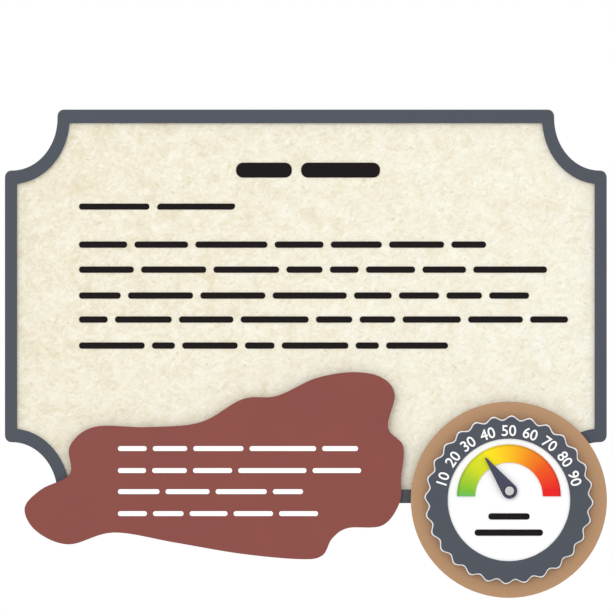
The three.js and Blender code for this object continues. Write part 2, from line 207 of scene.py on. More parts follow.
class SignColours(bpy.types.PropertyGroup):
    """Colours of the sign's finishes."""

    slate: colour_setting("Slate", "Frame and dial ring", paint(83, 87, 96))
    parchment_light: colour_setting("Parchment light", "Palest cloud", paint(249, 248, 236))
    parchment: colour_setting("Parchment", "Body of the panel", paint(244, 238, 218))
    parchment_dark: colour_setting("Parchment dark", "Darkest cloud", paint(231, 221, 193))
    fibre_pale: colour_setting("Pale fibre", "Pale fibres in the parchment", paint(252, 250, 238))
    fibre_tan: colour_setting("Tan fibre", "Darker fibres in it", paint(222, 213, 186))
    fleck: colour_setting("Fleck", "Sparse flecks in it", paint(214, 200, 168))
    hide: colour_setting("Hide", "Hide plate", paint(141, 82, 75))
    # Tan rim is the badge's own colour; tan middle and tan inner are painted shade that deepens
    # towards the dial ring
    tan_rim: colour_setting("Tan rim", "Badge at its rim", paint(184, 146, 112))
    tan_middle: colour_setting("Tan middle", "Badge half way in", paint(176, 140, 107))
    tan_inner: colour_setting("Tan inner", "Badge beside the dial", paint(155, 122, 95))
    white: colour_setting("White", "Dial plate and numerals", paint(255, 255, 255, 0))
    pointer: colour_setting("Pointer", "Slate violet pointer", paint(78, 80, 97))
    pin: colour_setting("Pin", "Head of the pin", paint(209, 209, 209))
    black: colour_setting("Black", "Dark strips", paint(35, 31, 32, 0.004))
    wood: colour_setting("Wood", "Backing board", paint(176, 144, 104))
    aluminium: colour_setting("Aluminium", "Hanging rail", paint(190, 193, 197))
    zinc: colour_setting("Zinc", "Screws", paint(168, 170, 172))
    rubber: colour_setting("Rubber", "Bumpers", paint(34, 34, 35))
    nylon: colour_setting("Nylon", "Spacers", paint(46, 47, 49))


# Finishes


class Finish:
    """A material whose patterns read the place on the sign, in metres."""

    def __init__(self, name, roughness, gloss=0.5, metallic=0.0):
        self.material = bpy.data.materials.new(name)
        self.material.use_nodes = True
        self.tree = self.material.node_tree
        self.shader = self.tree.nodes["Principled BSDF"]
        self.shader.inputs["Roughness"].default_value = roughness
        self.shader.inputs["Specular IOR Level"].default_value = gloss
        self.shader.inputs["Metallic"].default_value = metallic
        self.place = self.node("ShaderNodeTexCoord").outputs["Object"]

    def node(self, kind, **settings):
        node = self.tree.nodes.new(kind)
        for key, value in settings.items():
            setattr(node, key, value)
        return node

    def feed(self, socket, source):
        if isinstance(source, bpy.types.NodeSocket):
            self.tree.links.new(source, socket)
        else:
            socket.default_value = source

    def about(self, centre=(0, 0, 0), turn=(0, 0, 0), stretch=(1, 1, 1), source=None):
        """Coordinates from a centre, turned in degrees and stretched."""
        shifted = self.node("ShaderNodeMapping", vector_type="POINT")
        self.feed(shifted.inputs["Vector"], source or self.place)
        shifted.inputs["Location"].default_value = [-c for c in centre]
        scaled = self.node("ShaderNodeMapping", vector_type="TEXTURE")
        self.feed(scaled.inputs["Vector"], shifted.outputs["Vector"])
        scaled.inputs["Rotation"].default_value = [math.radians(t) for t in turn]
        scaled.inputs["Scale"].default_value = [1 / s for s in stretch]
        return scaled.outputs["Vector"]

    def wandering(self, size, amount):
        """Coordinates that stray by that amount over about that size."""
        noise = self.node("ShaderNodeTexNoise")
        self.feed(noise.inputs["Vector"], self.place)
        noise.inputs["Scale"].default_value = 1 / size
        noise.inputs["Detail"].default_value = 1
        moved = self.node("ShaderNodeVectorMath", operation="MULTIPLY_ADD")
        self.feed(moved.inputs[0], noise.outputs["Color"])
        moved.inputs[1].default_value = (amount, amount, amount)
        self.feed(moved.inputs[2], self.place)
        return moved.outputs["Vector"]

    def fibres(self, source, size, length, turns, shift, low, high):
        """Short strokes that lie in several directions, 1 in their middles and 0 between."""
        found = 0.0
        for turn in turns:
            lying = self.about((shift, 0, shift), (0, turn, 0), (1 / length, 1, 1), source)
            strokes = self.spread(self.noise(size, 0.5, 0.5, lying), low, high)
            found = self.calculate("MAXIMUM", strokes, found)
            shift += 0.31
        return found

    def noise(self, size, detail=2.0, roughness=0.5, place=None, distortion=0.0):
        """Noise whose lumps are about that size across."""
        node = self.node("ShaderNodeTexNoise")
        self.feed(node.inputs["Vector"], place or self.place)
        node.inputs["Scale"].default_value = 1 / size
        node.inputs["Detail"].default_value = detail
        node.inputs["Roughness"].default_value = roughness
        node.inputs["Distortion"].default_value = distortion
        return node.outputs[0]

    def spread(self, value, low, high, to_low=0.0, to_high=1.0):
        """A value's range from low to high carried to another range, and clamped."""
        node = self.node("ShaderNodeMapRange")
        self.feed(node.inputs["Value"], value)
        node.inputs["From Min"].default_value = low
        node.inputs["From Max"].default_value = high
        node.inputs["To Min"].default_value = to_low
        node.inputs["To Max"].default_value = to_high
        return node.outputs["Result"]

    def calculate(self, operation, first, second=0.0):
        node = self.node("ShaderNodeMath", operation=operation)
        self.feed(node.inputs[0], first)
        self.feed(node.inputs[1], second)
        return node.outputs["Value"]

    def blend(self, share, first, second, blend_type="MIX"):
        node = self.node("ShaderNodeMix", data_type="RGBA", blend_type=blend_type)
        self.feed(node.inputs[0], share)
        for socket, colour in ((node.inputs[6], first), (node.inputs[7], second)):
            self.feed(socket, colour if isinstance(colour, bpy.types.NodeSocket)
                      else (*colour, 1))
        return node.outputs[2]

    def ramp(self, value, stops):
        node = self.node("ShaderNodeValToRGB")
        self.feed(node.inputs["Fac"], value)
        elements = node.color_ramp.elements
        while len(elements) < len(stops):
            elements.new(1)
        for element, (position, colour) in zip(elements, stops):
            element.position = position
            element.color = (*colour, 1)
        return node.outputs["Color"]

    def colour(self, source):
        self.feed(self.shader.inputs["Base Color"], source)

    def roughness(self, source):
        self.feed(self.shader.inputs["Roughness"], source)

    def bump(self, height, depth):
        """Relief, whose full range is that deep."""
        node = self.node("ShaderNodeBump")
        node.inputs["Distance"].default_value = depth
        self.feed(node.inputs["Height"], height)
        self.feed(self.shader.inputs["Normal"], node.outputs["Normal"])


def tint(colour, factor):
    return tuple(min(1, channel * factor) for channel in colour)


def powder_coat(name, colour):
    """Dark powder coat: orange peel, and edges slightly rubbed."""
    finish = Finish(name, 0.5, gloss=0.25)
    cloud = finish.noise(60 * MM, 3)
    grain = finish.noise(0.9 * MM, 2)
    body = finish.blend(finish.spread(cloud, 0.3, 0.7), tint(colour, 0.96), tint(colour, 1.04))
    body = finish.blend(finish.spread(grain, 0.35, 0.65, 0, 0.35), body, tint(colour, 1.1))
    rubbed = finish.node("ShaderNodeAttribute", attribute_name="eased").outputs["Fac"]
    patchy = finish.spread(finish.noise(14 * MM, 4, 0.7), 0.42, 0.68, 0, 0.4)
    worn = finish.calculate("MULTIPLY", rubbed, patchy)
    finish.colour(finish.blend(worn, body, tint(colour, 1.9)))
    finish.roughness(finish.spread(cloud, 0.3, 0.7, 0.46, 0.56))
    finish.bump(finish.noise(1.6 * MM, 2, 0.4), 0.05 * MM)
    return finish.material


def parchment(name, colours):
    """Printed parchment: clouds of cream under matted pale and tan fibres, the sheet slightly
    browner towards its upper left."""
    finish = Finish(name, 0.75, gloss=0.15)
    cloud = finish.noise(14 * MM, 5, 0.75, finish.about((0.3, 0, 0.2)), 0.3)
    drift = finish.node("ShaderNodeVectorMath", operation="DOT_PRODUCT")
    finish.feed(drift.inputs[0], finish.about((PLAQUE_X, 0, PLAQUE_Z)))
    drift.inputs[1].default_value = (0.9, 0, -0.5)
    tone = finish.calculate("ADD", finish.spread(cloud, 0.25, 0.75), drift.outputs["Value"])
    body = finish.ramp(tone, [
        (0, colours.parchment_dark), (0.5, colours.parchment), (1, colours.parchment_light),
    ])
    matted = finish.wandering(9 * MM, 5 * MM)
    pale = finish.fibres(matted, 2.6 * MM, 3, (-52, -22, 3, 48), 0.1, 0.53, 0.8)
    tan = finish.fibres(matted, 2.6 * MM, 3, (-37, -7, 23, -72), 2.7, 0.53, 0.8)
    flecks = finish.fibres(matted, 1.5 * MM, 2.5, (30, -40), 5.1, 0.68, 0.8)
    body = finish.blend(finish.calculate("MULTIPLY", pale, 0.66), body, colours.fibre_pale)
    body = finish.blend(finish.calculate("MULTIPLY", tan, 0.38), body, colours.fibre_tan)
    finish.colour(finish.blend(finish.calculate("MULTIPLY", flecks, 0.5), body, colours.fleck))
    finish.bump(finish.calculate("SUBTRACT", pale, tan), 0.015 * MM)
    return finish.material


def satin(name, colour, roughness=0.42, gloss=0.25, depth=0.03):
    """Satin paint or moulding with a faint drift of tone."""
    finish = Finish(name, roughness, gloss)
    drift = finish.noise(45 * MM, 3, 0.55)
    finish.colour(finish.blend(finish.spread(drift, 0.3, 0.7), tint(colour, 0.97),
                               tint(colour, 1.03)))
    finish.roughness(finish.spread(drift, 0.3, 0.7, roughness - 0.04, roughness + 0.05))
    finish.bump(finish.noise(1.8 * MM, 2, 0.4), depth * MM)
    return finish.material


def from_centre(finish, x, z):
    """Distance from an axis that runs out of the wall."""
    offset = finish.node("ShaderNodeVectorMath", operation="MULTIPLY")
    finish.feed(offset.inputs[0], finish.about((x, 0, z)))
    offset.inputs[1].default_value = (1, 0, 1)
    length = finish.node("ShaderNodeVectorMath", operation="LENGTH")
    finish.feed(length.inputs[0], offset.outputs["Vector"])
    return length.outputs["Value"]


def badge_tan(name, colours, inner):
    """Tan disc with painted shade that darkens it towards the dial ring."""
    finish = Finish(name, 0.5, gloss=0.25)
    # Painted shade: from the rim the tan darkens inwards, darkest at the inner radius beside the
    # dial ring
    radius = finish.spread(from_centre(finish, BADGE_X, BADGE_Z), inner, BADGE_RADIUS)
    body = finish.ramp(radius, [
        (0, colours.tan_inner), (0.4, colours.tan_middle), (0.85, colours.tan_rim),
    ])
    # The back and sides keep the rim's tan, without the painted shade
    depth = finish.node("ShaderNodeSeparateXYZ")
    finish.feed(depth.inputs[0], finish.place)
    behind = finish.spread(depth.outputs["Y"], BADGE_LOW.y + 1 * MM, BADGE_LOW.y + 2 * MM)
    body = finish.blend(behind, body, colours.tan_rim)
    grain = finish.noise(3 * MM, 4, 0.65)
    finish.colour(finish.blend(finish.spread(grain, 0.3, 0.7, 0, 0.12), body,
                               tint(colours.tan_middle, 1.2)))
    finish.bump(finish.noise(1.8 * MM, 2, 0.4), 0.03 * MM)
    return finish.material


def printed_scale(name):
    """The half ring's printed colours by direction, green round to red, with painted shade
    darkening its outer rim.
    """
    finish = Finish(name, 0.45, gloss=0.2)
    split = finish.node("ShaderNodeSeparateXYZ")
    finish.feed(split.inputs[0], finish.about((SCALE_X, 0, SCALE_Z)))
    around = finish.calculate("ARCTAN2", split.outputs["Z"], split.outputs["X"])
    share = finish.spread(around, math.pi, 0)
    body = finish.ramp(share, [(place, paint(*colour)) for place, colour in SCALE_COLOURS])
    # Painted shade: a band along the outer rim is darkened, as if the rim stood over it
    rim = finish.spread(from_centre(finish, SCALE_X, SCALE_Z), SCALE_OUTER - 2 * MM,
                        SCALE_OUTER - 0.9 * MM)
    finish.colour(finish.blend(rim, body, (0.74, 0.74, 0.74), "MULTIPLY"))
    finish.bump(finish.noise(1.5 * MM, 1), 0.01 * MM)
    return finish.material


def turned_metal(name, colour, x, z):
    """Metal faced on a lathe, with rings round its axis."""
    finish = Finish(name, 0.38, metallic=1.0)
    rings = finish.node("ShaderNodeTexNoise", noise_dimensions="1D")
    finish.feed(rings.inputs["W"], from_centre(finish, x, z))
    rings.inputs["Scale"].default_value = 1 / (0.25 * MM)
    finish.colour(finish.blend(finish.spread(rings.outputs[0], 0.35, 0.65), tint(colour, 0.95),
                               tint(colour, 1.03)))
    finish.bump(rings.outputs[0], 0.01 * MM)
    return finish.material


def brushed_metal(name, colour):
    """Aluminium brushed along its length."""
    finish = Finish(name, 0.4, metallic=1.0)
    lines = finish.noise(0.4 * MM, 3, 0.6, finish.about(stretch=(0.01, 1, 1)))
    finish.colour(finish.blend(finish.spread(lines, 0.3, 0.7), tint(colour, 0.9),
                               tint(colour, 1.04)))
    finish.roughness(finish.spread(lines, 0.3, 0.7, 0.34, 0.48))
    finish.bump(lines, 0.02 * MM)
    return finish.material


def zinc_plate(name, colour):
    finish = Finish(name, 0.36, metallic=1.0)
    spangle = finish.noise(1.4 * MM, 3, 0.6)
    finish.colour(finish.blend(finish.spread(spangle, 0.3, 0.7), tint(colour, 0.85),
                               tint(colour, 1.08)))
    finish.roughness(finish.spread(spangle, 0.3, 0.7, 0.3, 0.46))
    return finish.material


def plywood(name, colour):
    """Rotary-cut face veneer, its grain along the width."""
    finish = Finish(name, 0.62, gloss=0.25)
    broad = finish.noise(34 * MM, 4, 0.6, finish.about((0.2, 0, 0.1), stretch=(0.14, 1, 1)), 1.2)
    wave = finish.node("ShaderNodeTexWave", wave_type="BANDS", bands_direction="Z")
    finish.feed(wave.inputs["Vector"], finish.about(stretch=(0.1, 1, 1)))
    wave.inputs["Scale"].default_value = 24
    wave.inputs["Distortion"].default_value = 7
    wave.inputs["Detail"].default_value = 3
    wave.inputs["Detail Scale"].default_value = 1.4
    pores = finish.noise(0.8 * MM, 2, 0.5, finish.about(stretch=(0.05, 1, 1)))
    figure = finish.blend(finish.spread(broad, 0.35, 0.65), tint(colour, 0.8), tint(colour, 1.1))
    figure = finish.blend(finish.spread(wave.outputs["Fac"], 0.45, 1, 0, 0.3), figure,
                          tint(colour, 0.6))
    finish.colour(finish.blend(finish.spread(pores, 0.6, 0.72, 0, 0.5), figure,
                               tint(colour, 0.45)))
    finish.roughness(finish.spread(pores, 0.4, 0.7, 0.55, 0.75))
    finish.bump(pores, 0.06 * MM)
    return finish.material


def matt(name, colour, roughness=0.85):
    """Rubber or moulded nylon."""
    finish = Finish(name, roughness, gloss=0.25)
    mottle = finish.noise(1.2 * MM, 3, 0.6)
    finish.colour(finish.blend(finish.spread(mottle, 0.3, 0.7), tint(colour, 0.85),
                               tint(colour, 1.2)))
    finish.bump(mottle, 0.05 * MM)
    return finish.material


# Pieces


def add_piece(name, bm, material, body, replaced=()):
    """Closes a piece: its mesh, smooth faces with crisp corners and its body."""
    bm.normal_update()
    for face in bm.faces:
        face.smooth = True
    for edge in bm.edges:
        edge.smooth = edge.calc_face_angle(0) < CRISP_ANGLE
    mesh = bpy.data.meshes.new(name)
    bm.to_mesh(mesh)
    bm.free()
    mesh.materials.append(material)
    piece = bpy.data.objects.new(name, mesh)
    bpy.context.scene.collection.objects.link(piece)
    weighted = piece.modifiers.new("Even shading", "WEIGHTED_NORMAL")
    weighted.keep_sharp = True
    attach(piece, body)
    if replaced:
        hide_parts(*replaced)
    return piece


def eased_copy(node, width, chosen=None, segments=3):
    """A copy of a solid whose sharp edges are rounded to that width. The rounds are marked."""
    bm = bmesh.new()
    bm.from_mesh(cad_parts[node].data)
    bmesh.ops.remove_doubles(bm, verts=bm.verts, dist=LEVEL)
    bmesh.ops.dissolve_limit(bm, angle_limit=FLAT_ANGLE, use_dissolve_boundaries=False,
                             verts=bm.verts, edges=bm.edges)
    sharp = [
        edge for edge in bm.edges
        if edge.is_manifold and edge.calc_face_angle() > EASED_ANGLE
        and (chosen is None or chosen(edge))
    ]
    eased = bmesh.ops.bevel(bm, geom=sharp, offset=width, offset_type="OFFSET",
                            segments=segments, profile=0.5, affect="EDGES", material=-1,
                            clamp_overlap=True)
    layer = bm.loops.layers.float.new("eased")
    for face in eased["faces"]:
        for corner in face.loops:
            corner[layer] = 1
    refill_flats(bm, layer)
    return bm


def refill_flats(bm, layer):
    """Fills each flat side afresh between its outline and its holes, as they lie once eased."""
    broad = {f for f in bm.faces if len(f.verts) > 4 and f.loops[0][layer] == 0}
    while broad:
        flat = flat_round(broad.pop())
        broad -= flat
        facing = Vector(max(flat, key=lambda face: face.calc_area()).normal)
        loops = sorted((edge for face in flat for edge in face.edges
                        if sum(other in flat for other in edge.link_faces) == 1),
                       key=lambda edge: sorted(tuple(vertex.co) for vertex in edge.verts))
        bmesh.ops.delete(bm, geom=list(flat), context="FACES_ONLY")
        inner = [edge for edge in bm.edges if edge.is_wire]
        bmesh.ops.delete(bm, geom=inner, context="EDGES")
        bmesh.ops.triangle_fill(bm, edges=loops, use_beauty=True, normal=facing)
    bmesh.ops.recalc_face_normals(bm, faces=bm.faces)


def flat_round(face):
    """The faces that lie level with a face and hang together with it."""
    found, edge_on = {face}, [face]
    while edge_on:
        for edge in edge_on.pop().edges:
            for other in edge.link_faces:
                if other not in found and other.normal.dot(face.normal) > SAME_FACING:
                    found.add(other)
                    edge_on.append(other)
    return found


def turned(profile, steps=48):
    """A body turned about the z axis, from pairs of radius and height that end on the axis."""
    bm = bmesh.new()
    points = [bm.verts.new((radius, 0, height)) for radius, height in profile]
    edges = [bm.edges.new(pair) for pair in zip(points, points[1:])]
    bmesh.ops.spin(bm, geom=points + edges, cent=(0, 0, 0), axis=(0, 0, 1),
                   angle=2 * math.pi, steps=steps, use_merge=True)
    bmesh.ops.remove_doubles(bm, verts=bm.verts, dist=MERGE)
    bmesh.ops.recalc_face_normals(bm, faces=bm.faces)
    return bm


def add_to(bm, part, matrix=Matrix()):
    """Puts a finished part into a mesh at its place."""
    bmesh.ops.transform(part, matrix=matrix, verts=part.verts)
    mesh = bpy.data.meshes.new("part")
    part.to_mesh(mesh)
    part.free()
    bm.from_mesh(mesh)
    bpy.data.meshes.remove(mesh)


def facing_at(x, y, z):
    """Stands a part built flat, z forward, at a place in the room."""
    return Matrix.Translation((x, y, z)) @ FACING


def strip(length, width, relief, lean=0.0):
    """A raised strip with round ends, its foot sunk a little below z = 0."""
    bm = bmesh.new()
    bmesh.ops.create_cube(bm, size=1)
    bmesh.ops.scale(bm, vec=(length, width, relief + SUNK), verts=bm.verts)
    bmesh.ops.translate(bm, vec=(0, 0, (relief - SUNK) / 2), verts=bm.verts)
    upright = [e for e in bm.edges if abs(e.verts[0].co.z - e.verts[1].co.z) > relief / 2]
    bmesh.ops.bevel(bm, geom=upright, offset=min(width, length) * 0.46, offset_type="OFFSET",
                    segments=6, profile=0.5, affect="EDGES", material=-1)
    rim = [e for e in bm.edges if all(v.co.z > relief / 2 for v in e.verts)]
    bmesh.ops.bevel(bm, geom=rim, offset=MARKING_ROUND, offset_type="OFFSET", segments=2,
                    profile=0.5, affect="EDGES", material=-1)
    slope = math.tan(math.radians(lean))
    for vertex in bm.verts:
        vertex.co.x += slope * vertex.co.y
    return bm


def word_spans(left, right, mean, gap, draw):
    """Parts a line into word-like lengths with even gaps."""
    count = max(1, round((right - left + gap) / (mean + gap)))
    weights = [draw.uniform(0.5, 1.5) for _ in range(count)]
    unit = (right - left - gap * (count - 1)) / sum(weights)
    spans = []
    for weight in weights:
        spans.append((left, left + unit * weight))
        left += unit * weight + gap
    return spans


def add_strips(name, line, width, spacing, node, material, relief, seed, lean_last=0):
    """One line of word-length strips, standing on the front of a solid."""
    left, right, height = line
    mean, gap = spacing
    bm = bmesh.new()
    spans = word_spans(left * MM, right * MM, mean * MM, gap * MM, random.Random(seed))
    for index, (start, end) in enumerate(spans):
        lean = lean_last if index == len(spans) - 1 else 0
        place = facing_at(PLAQUE_X + (start + end) / 2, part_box(node)[0].y,
                          PLAQUE_Z + height * MM)
        add_to(bm, strip(end - start, width, relief, lean), place)
    return add_piece(name, bm, material, SIGN)


def numeral(text, height, weight, depth):
    """A number as a mesh, centred, z forward from its back."""
    curve = bpy.data.curves.new("numeral", "FONT")
    curve.body = text
    curve.size = height * 1.4
    curve.offset = weight
    curve.extrude = depth / 2
    curve.resolution_u = 6
    holder = bpy.data.objects.new("numeral", curve)
    bpy.context.scene.collection.objects.link(holder)
    bpy.context.view_layer.update()
    graph = bpy.context.evaluated_depsgraph_get()
    mesh = bpy.data.meshes.new_from_object(holder.evaluated_get(graph))
    bm = bmesh.new()
    bm.from_mesh(mesh)
    bpy.data.objects.remove(holder)
    bpy.data.curves.remove(curve)
    bpy.data.meshes.remove(mesh)
    bmesh.ops.remove_doubles(bm, verts=bm.verts, dist=MERGE)
    bmesh.ops.dissolve_degenerate(bm, dist=MERGE, edges=bm.edges)
    bmesh.ops.recalc_face_normals(bm, faces=bm.faces)
    low = Vector([min(v.co[i] for v in bm.verts) for i in range(3)])
    high = Vector([max(v.co[i] for v in bm.verts) for i in range(3)])
    middle = (low + high) / 2
    bmesh.ops.translate(bm, vec=(-middle.x, -middle.y, -low.z), verts=bm.verts)
    grow = height / (high.y - low.y)
    bmesh.ops.scale(bm, vec=(grow, grow, 1), verts=bm.verts)
    return bm


def cross_recess(radius, depth):
    """Cutter for a cross recess: two tapered bars through one another, z up out of the head."""
    cutter = bmesh.new()
    for turn in (0, 90):
        bar = bmesh.new()
        bmesh.ops.create_cube(bar, size=1)
        bmesh.ops.scale(bar, vec=(radius * 1.25, radius * 0.26, depth * 2), verts=bar.verts)
        for vertex in bar.verts:
            if vertex.co.z < 0:
                vertex.co.x *= 0.45
                vertex.co.y *= 0.8
        add_to(cutter, bar, Matrix.Rotation(math.radians(turn), 4, "Z"))
    return cutter


def add_screws(name, nodes, profile_of, screw, material):
    """Screws of one kind as one piece. Each is turned, recessed and set where its solid is."""
    (shank, head), (recess_radius, recess_depth) = screw
    bm = bmesh.new()
    for node in nodes:
        low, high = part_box(node)
        place = Matrix.Translation(((low.x + high.x) / 2, high.y, (low.z + high.z) / 2))
        # Each recess stands at an angle of its own, as a driven screw's does
        turn = Matrix.Rotation(math.radians(47 * len(node) + 31 * low.x / 0.01), 4, "Z")
        body = turned(profile_of((high.x - low.x) / 2, high.y - low.y, shank, head), 32)
        add_to(bm, recessed(body, recess_radius, recess_depth),
               place @ Matrix.Rotation(math.radians(-90), 4, "X") @ turn)
    return add_piece(name, bm, material, SIGN, nodes)


def recessed(body, radius, depth):
    """A screw's body with the cross recess cut into its top, which is at z = 0."""
    holders = []
    for part in (body, cross_recess(radius, depth)):
        mesh = bpy.data.meshes.new("part")
        part.to_mesh(mesh)
        part.free()
        holder = bpy.data.objects.new("part", mesh)
        bpy.context.scene.collection.objects.link(holder)
        holders.append(holder)
    cut = holders[0].modifiers.new("Recess", "BOOLEAN")
    cut.operation = "DIFFERENCE"
    cut.solver = "EXACT"
    cut.use_self = True
    cut.object = holders[1]
    bpy.context.view_layer.update()
    graph = bpy.context.evaluated_depsgraph_get()
    mesh = bpy.data.meshes.new_from_object(holders[0].evaluated_get(graph))
    bm = bmesh.new()
    bm.from_mesh(mesh)
    bmesh.ops.dissolve_degenerate(bm, dist=MERGE, edges=bm.edges)
    for holder in holders:
        bpy.data.objects.remove(holder)
    bpy.data.meshes.remove(mesh)
    return bm


def dress(node, material):
    """Gives a solid that stays its finish."""
    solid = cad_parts[node]
    solid.data.materials.clear()
    solid.data.materials.append(material)


class SignStage(bpy.types.Operator):
    """Set the camera, the pale floor and the soft studio light"""

    bl_idname = "sign.stage"
    bl_label = "Stage"

    def execute(self, context):
        scene = context.scene
        lens = bpy.data.cameras.new("camera")
        lens.sensor_width = SENSOR_WIDTH
        lens.lens = SENSOR_WIDTH * CAMERA_DISTANCE / (PICTURE_WIDTH * PIXEL)
        lens.clip_end = 100
        camera = bpy.data.objects.new("camera", lens)
        camera.location = (PLAQUE_X + CAMERA_SIDE, PLAQUE_LOW.y - CAMERA_DISTANCE,
                           PLAQUE_Z + CAMERA_UP)
        camera.rotation_euler = (math.radians(90), 0, 0)
        scene.collection.objects.link(camera)
        scene.camera = camera
        scene.view_settings.view_transform = "Standard"
        scene.view_settings.look = "None"

        world = bpy.data.worlds.new("studio")
        world.use_nodes = True
        world.node_tree.nodes["Background"].inputs["Color"].default_value = (1, 1, 1, 1)
        world.node_tree.nodes["Background"].inputs["Strength"].default_value = 1
        scene.world = world
        for name, place, power, size in STUDIO_LIGHTS:
            lamp = bpy.data.lights.new(name, "AREA")
            lamp.shape = "DISK"
            lamp.size = size
            lamp.energy = power
            holder = bpy.data.objects.new(name, lamp)
            aim = Vector((0, 0, PLAQUE_Z)) - Vector(place)
            holder.location = place
            holder.rotation_euler = aim.to_track_quat("-Z", "Y").to_euler()
            scene.collection.objects.link(holder)

        bm = bmesh.new()
        bmesh.ops.create_grid(bm, x_segments=4, y_segments=4, size=FLOOR_HALF)
        bmesh.ops.translate(bm, vec=(0, 0, CAD_BOX[0].z - FLOOR_DROP), verts=bm.verts)
        mesh = bpy.data.meshes.new("floor")
        bm.to_mesh(mesh)
        bm.free()
        floor = bpy.data.objects.new("floor", mesh)
        mesh.materials.append(Finish("floor_paint", 0.8, 0.2).material)
        scene.collection.objects.link(floor)
        return {"FINISHED"}


class SignFrame(bpy.types.Operator):
    """Make the notched slate frame with its edges eased"""

    bl_idname = "sign.frame_moulding"
    bl_label = "Frame"

    def execute(self, context):
        colours, sizes = context.scene.sign_colours, context.scene.sign_sizes
        bm = eased_copy("frame", sizes.frame_round, outside_the_rabbet)
        add_piece("frame_moulding", bm, powder_coat("slate_powder_coat", colours.slate), SIGN,
                  ["frame"])
        return {"FINISHED"}


def outside_the_rabbet(edge):
    """Edges of the frame that show: those on its front and its back face."""
    return all(
        abs(vertex.co.y - PLAQUE_LOW.y) < LEVEL or abs(vertex.co.y - PLAQUE_HIGH.y) < LEVEL
        for vertex in edge.verts
    )


class SignPanel(bpy.types.Operator):
    """Finish the parchment panel and set the dark strips on it"""

    bl_idname = "sign.face_panel"
    bl_label = "Face panel"

    def execute(self, context):
        colours, sizes = context.scene.sign_colours, context.scene.sign_sizes
        dress("face_panel", parchment("parchment_print", colours))
        black = satin("black_strip", colours.black, 0.7, 0.05, 0.01)
        relief = sizes.strip_relief
        add_strips("title_strips", TITLE_LINE, sizes.title_strip, TITLE_STRIPS, "face_panel",
                   black, relief, 3)
        add_strips("subtitle_strips", SUBTITLE_LINE, sizes.subtitle_strip, SUBTITLE_STRIPS,
                   "face_panel", black, relief, 5, lean_last=14)
        for number, line in enumerate(BODY_LINES, 1):
            add_strips(f"body_strips_{number}", line, sizes.body_strip, BODY_STRIPS,
                       "face_panel", black, relief, 10 + number)
        return {"FINISHED"}


class SignHide(bpy.types.Operator):
    """Make the hide-shaped plate and its white strips"""

    bl_idname = "sign.hide_plate"
    bl_label = "Hide plate"

    def execute(self, context):
        colours, sizes = context.scene.sign_colours, context.scene.sign_sizes
        add_piece("hide_shape", eased_copy("hide_plate", sizes.plate_round),
                  satin("hide_paint", colours.hide), SIGN, ["hide_plate"])
        white = satin("white_strip", colours.white, 0.5, 0.2, 0.01)
        for number, line in enumerate(HIDE_LINES, 1):
            add_strips(f"hide_strips_{number}", line, sizes.hide_strip, HIDE_STRIPS,
                       "hide_plate", white, sizes.strip_relief, 30 + number)
        return {"FINISHED"}


class SignBadge(bpy.types.Operator):
    """Make the round tan badge"""

    bl_idname = "sign.badge"
    bl_label = "Badge"

    def execute(self, context):
        colours, sizes = context.scene.sign_colours, context.scene.sign_sizes
        low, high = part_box("dial_plate")
        # The badge's finish has painted shade that darkens it towards the dial ring
        tan = badge_tan("badge_tan_with_painted_shade", colours, (high.x - low.x) / 2 - 2 * MM)
        add_piece("badge_round", eased_copy("badge_disc", sizes.plate_round), tan, SIGN,
                  ["badge_disc"])
        return {"FINISHED"}


class SignDial(bpy.types.Operator):
    """Make the scalloped dial plate and ring, the ring's numerals and the strips below"""

    bl_idname = "sign.dial"
    bl_label = "Dial"

    def execute(self, context):
        colours, sizes = context.scene.sign_colours, context.scene.sign_sizes
        white = satin("dial_white_satin", colours.white, 0.45, 0.2, 0.01)
        add_piece("dial_face", eased_copy("dial_plate", sizes.thin_round), white, SIGN,
                  ["dial_plate"])
        add_piece("dial_rim", eased_copy("dial_ring", sizes.ring_round),
                  powder_coat("slate_satin", colours.slate), SIGN, ["dial_ring"])
        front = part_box("dial_ring")[0].y
        bm = bmesh.new()
        first, last, step = NUMERALS
        for count, number in enumerate(range(first, last + 1, step), 1):
            angle = math.radians(180 - NUMERAL_TURN * count)
            place = facing_at(BADGE_X + sizes.numeral_radius * math.cos(angle), front + SUNK,
                              BADGE_Z + sizes.numeral_radius * math.sin(angle))
            upright = Matrix.Rotation(angle - math.pi / 2, 4, "Z")
            digits = numeral(str(number), sizes.numeral_height, sizes.numeral_weight,
                             sizes.strip_relief + SUNK)
            add_to(bm, digits, place @ upright)
        ink = satin("white_numeral", colours.white, 0.5, 0.2, 0.01)
        add_piece("dial_numerals", bm, ink, SIGN)
        black = satin("black_dial_strip", colours.black, 0.7, 0.05, 0.01)
        for number, line in enumerate(STATUS_LINES, 1):
            add_strips(f"status_strip_{number}", line, sizes.status_strip, STATUS_STRIPS,
                       "dial_plate", black, sizes.strip_relief, 50 + number)
        return {"FINISHED"}


class SignScale(bpy.types.Operator):
    """Make the half ring that runs from green to red"""

    bl_idname = "sign.scale"
    bl_label = "Scale"

    def execute(self, context):
        bm = eased_copy("scale_band", MARKING_ROUND, segments=2)
        # The scale's finish has its printed colours and a painted shade along the outer rim
        add_piece("scale_arc", bm, printed_scale("scale_colours"), SIGN,
                  ["scale_band"])
        return {"FINISHED"}


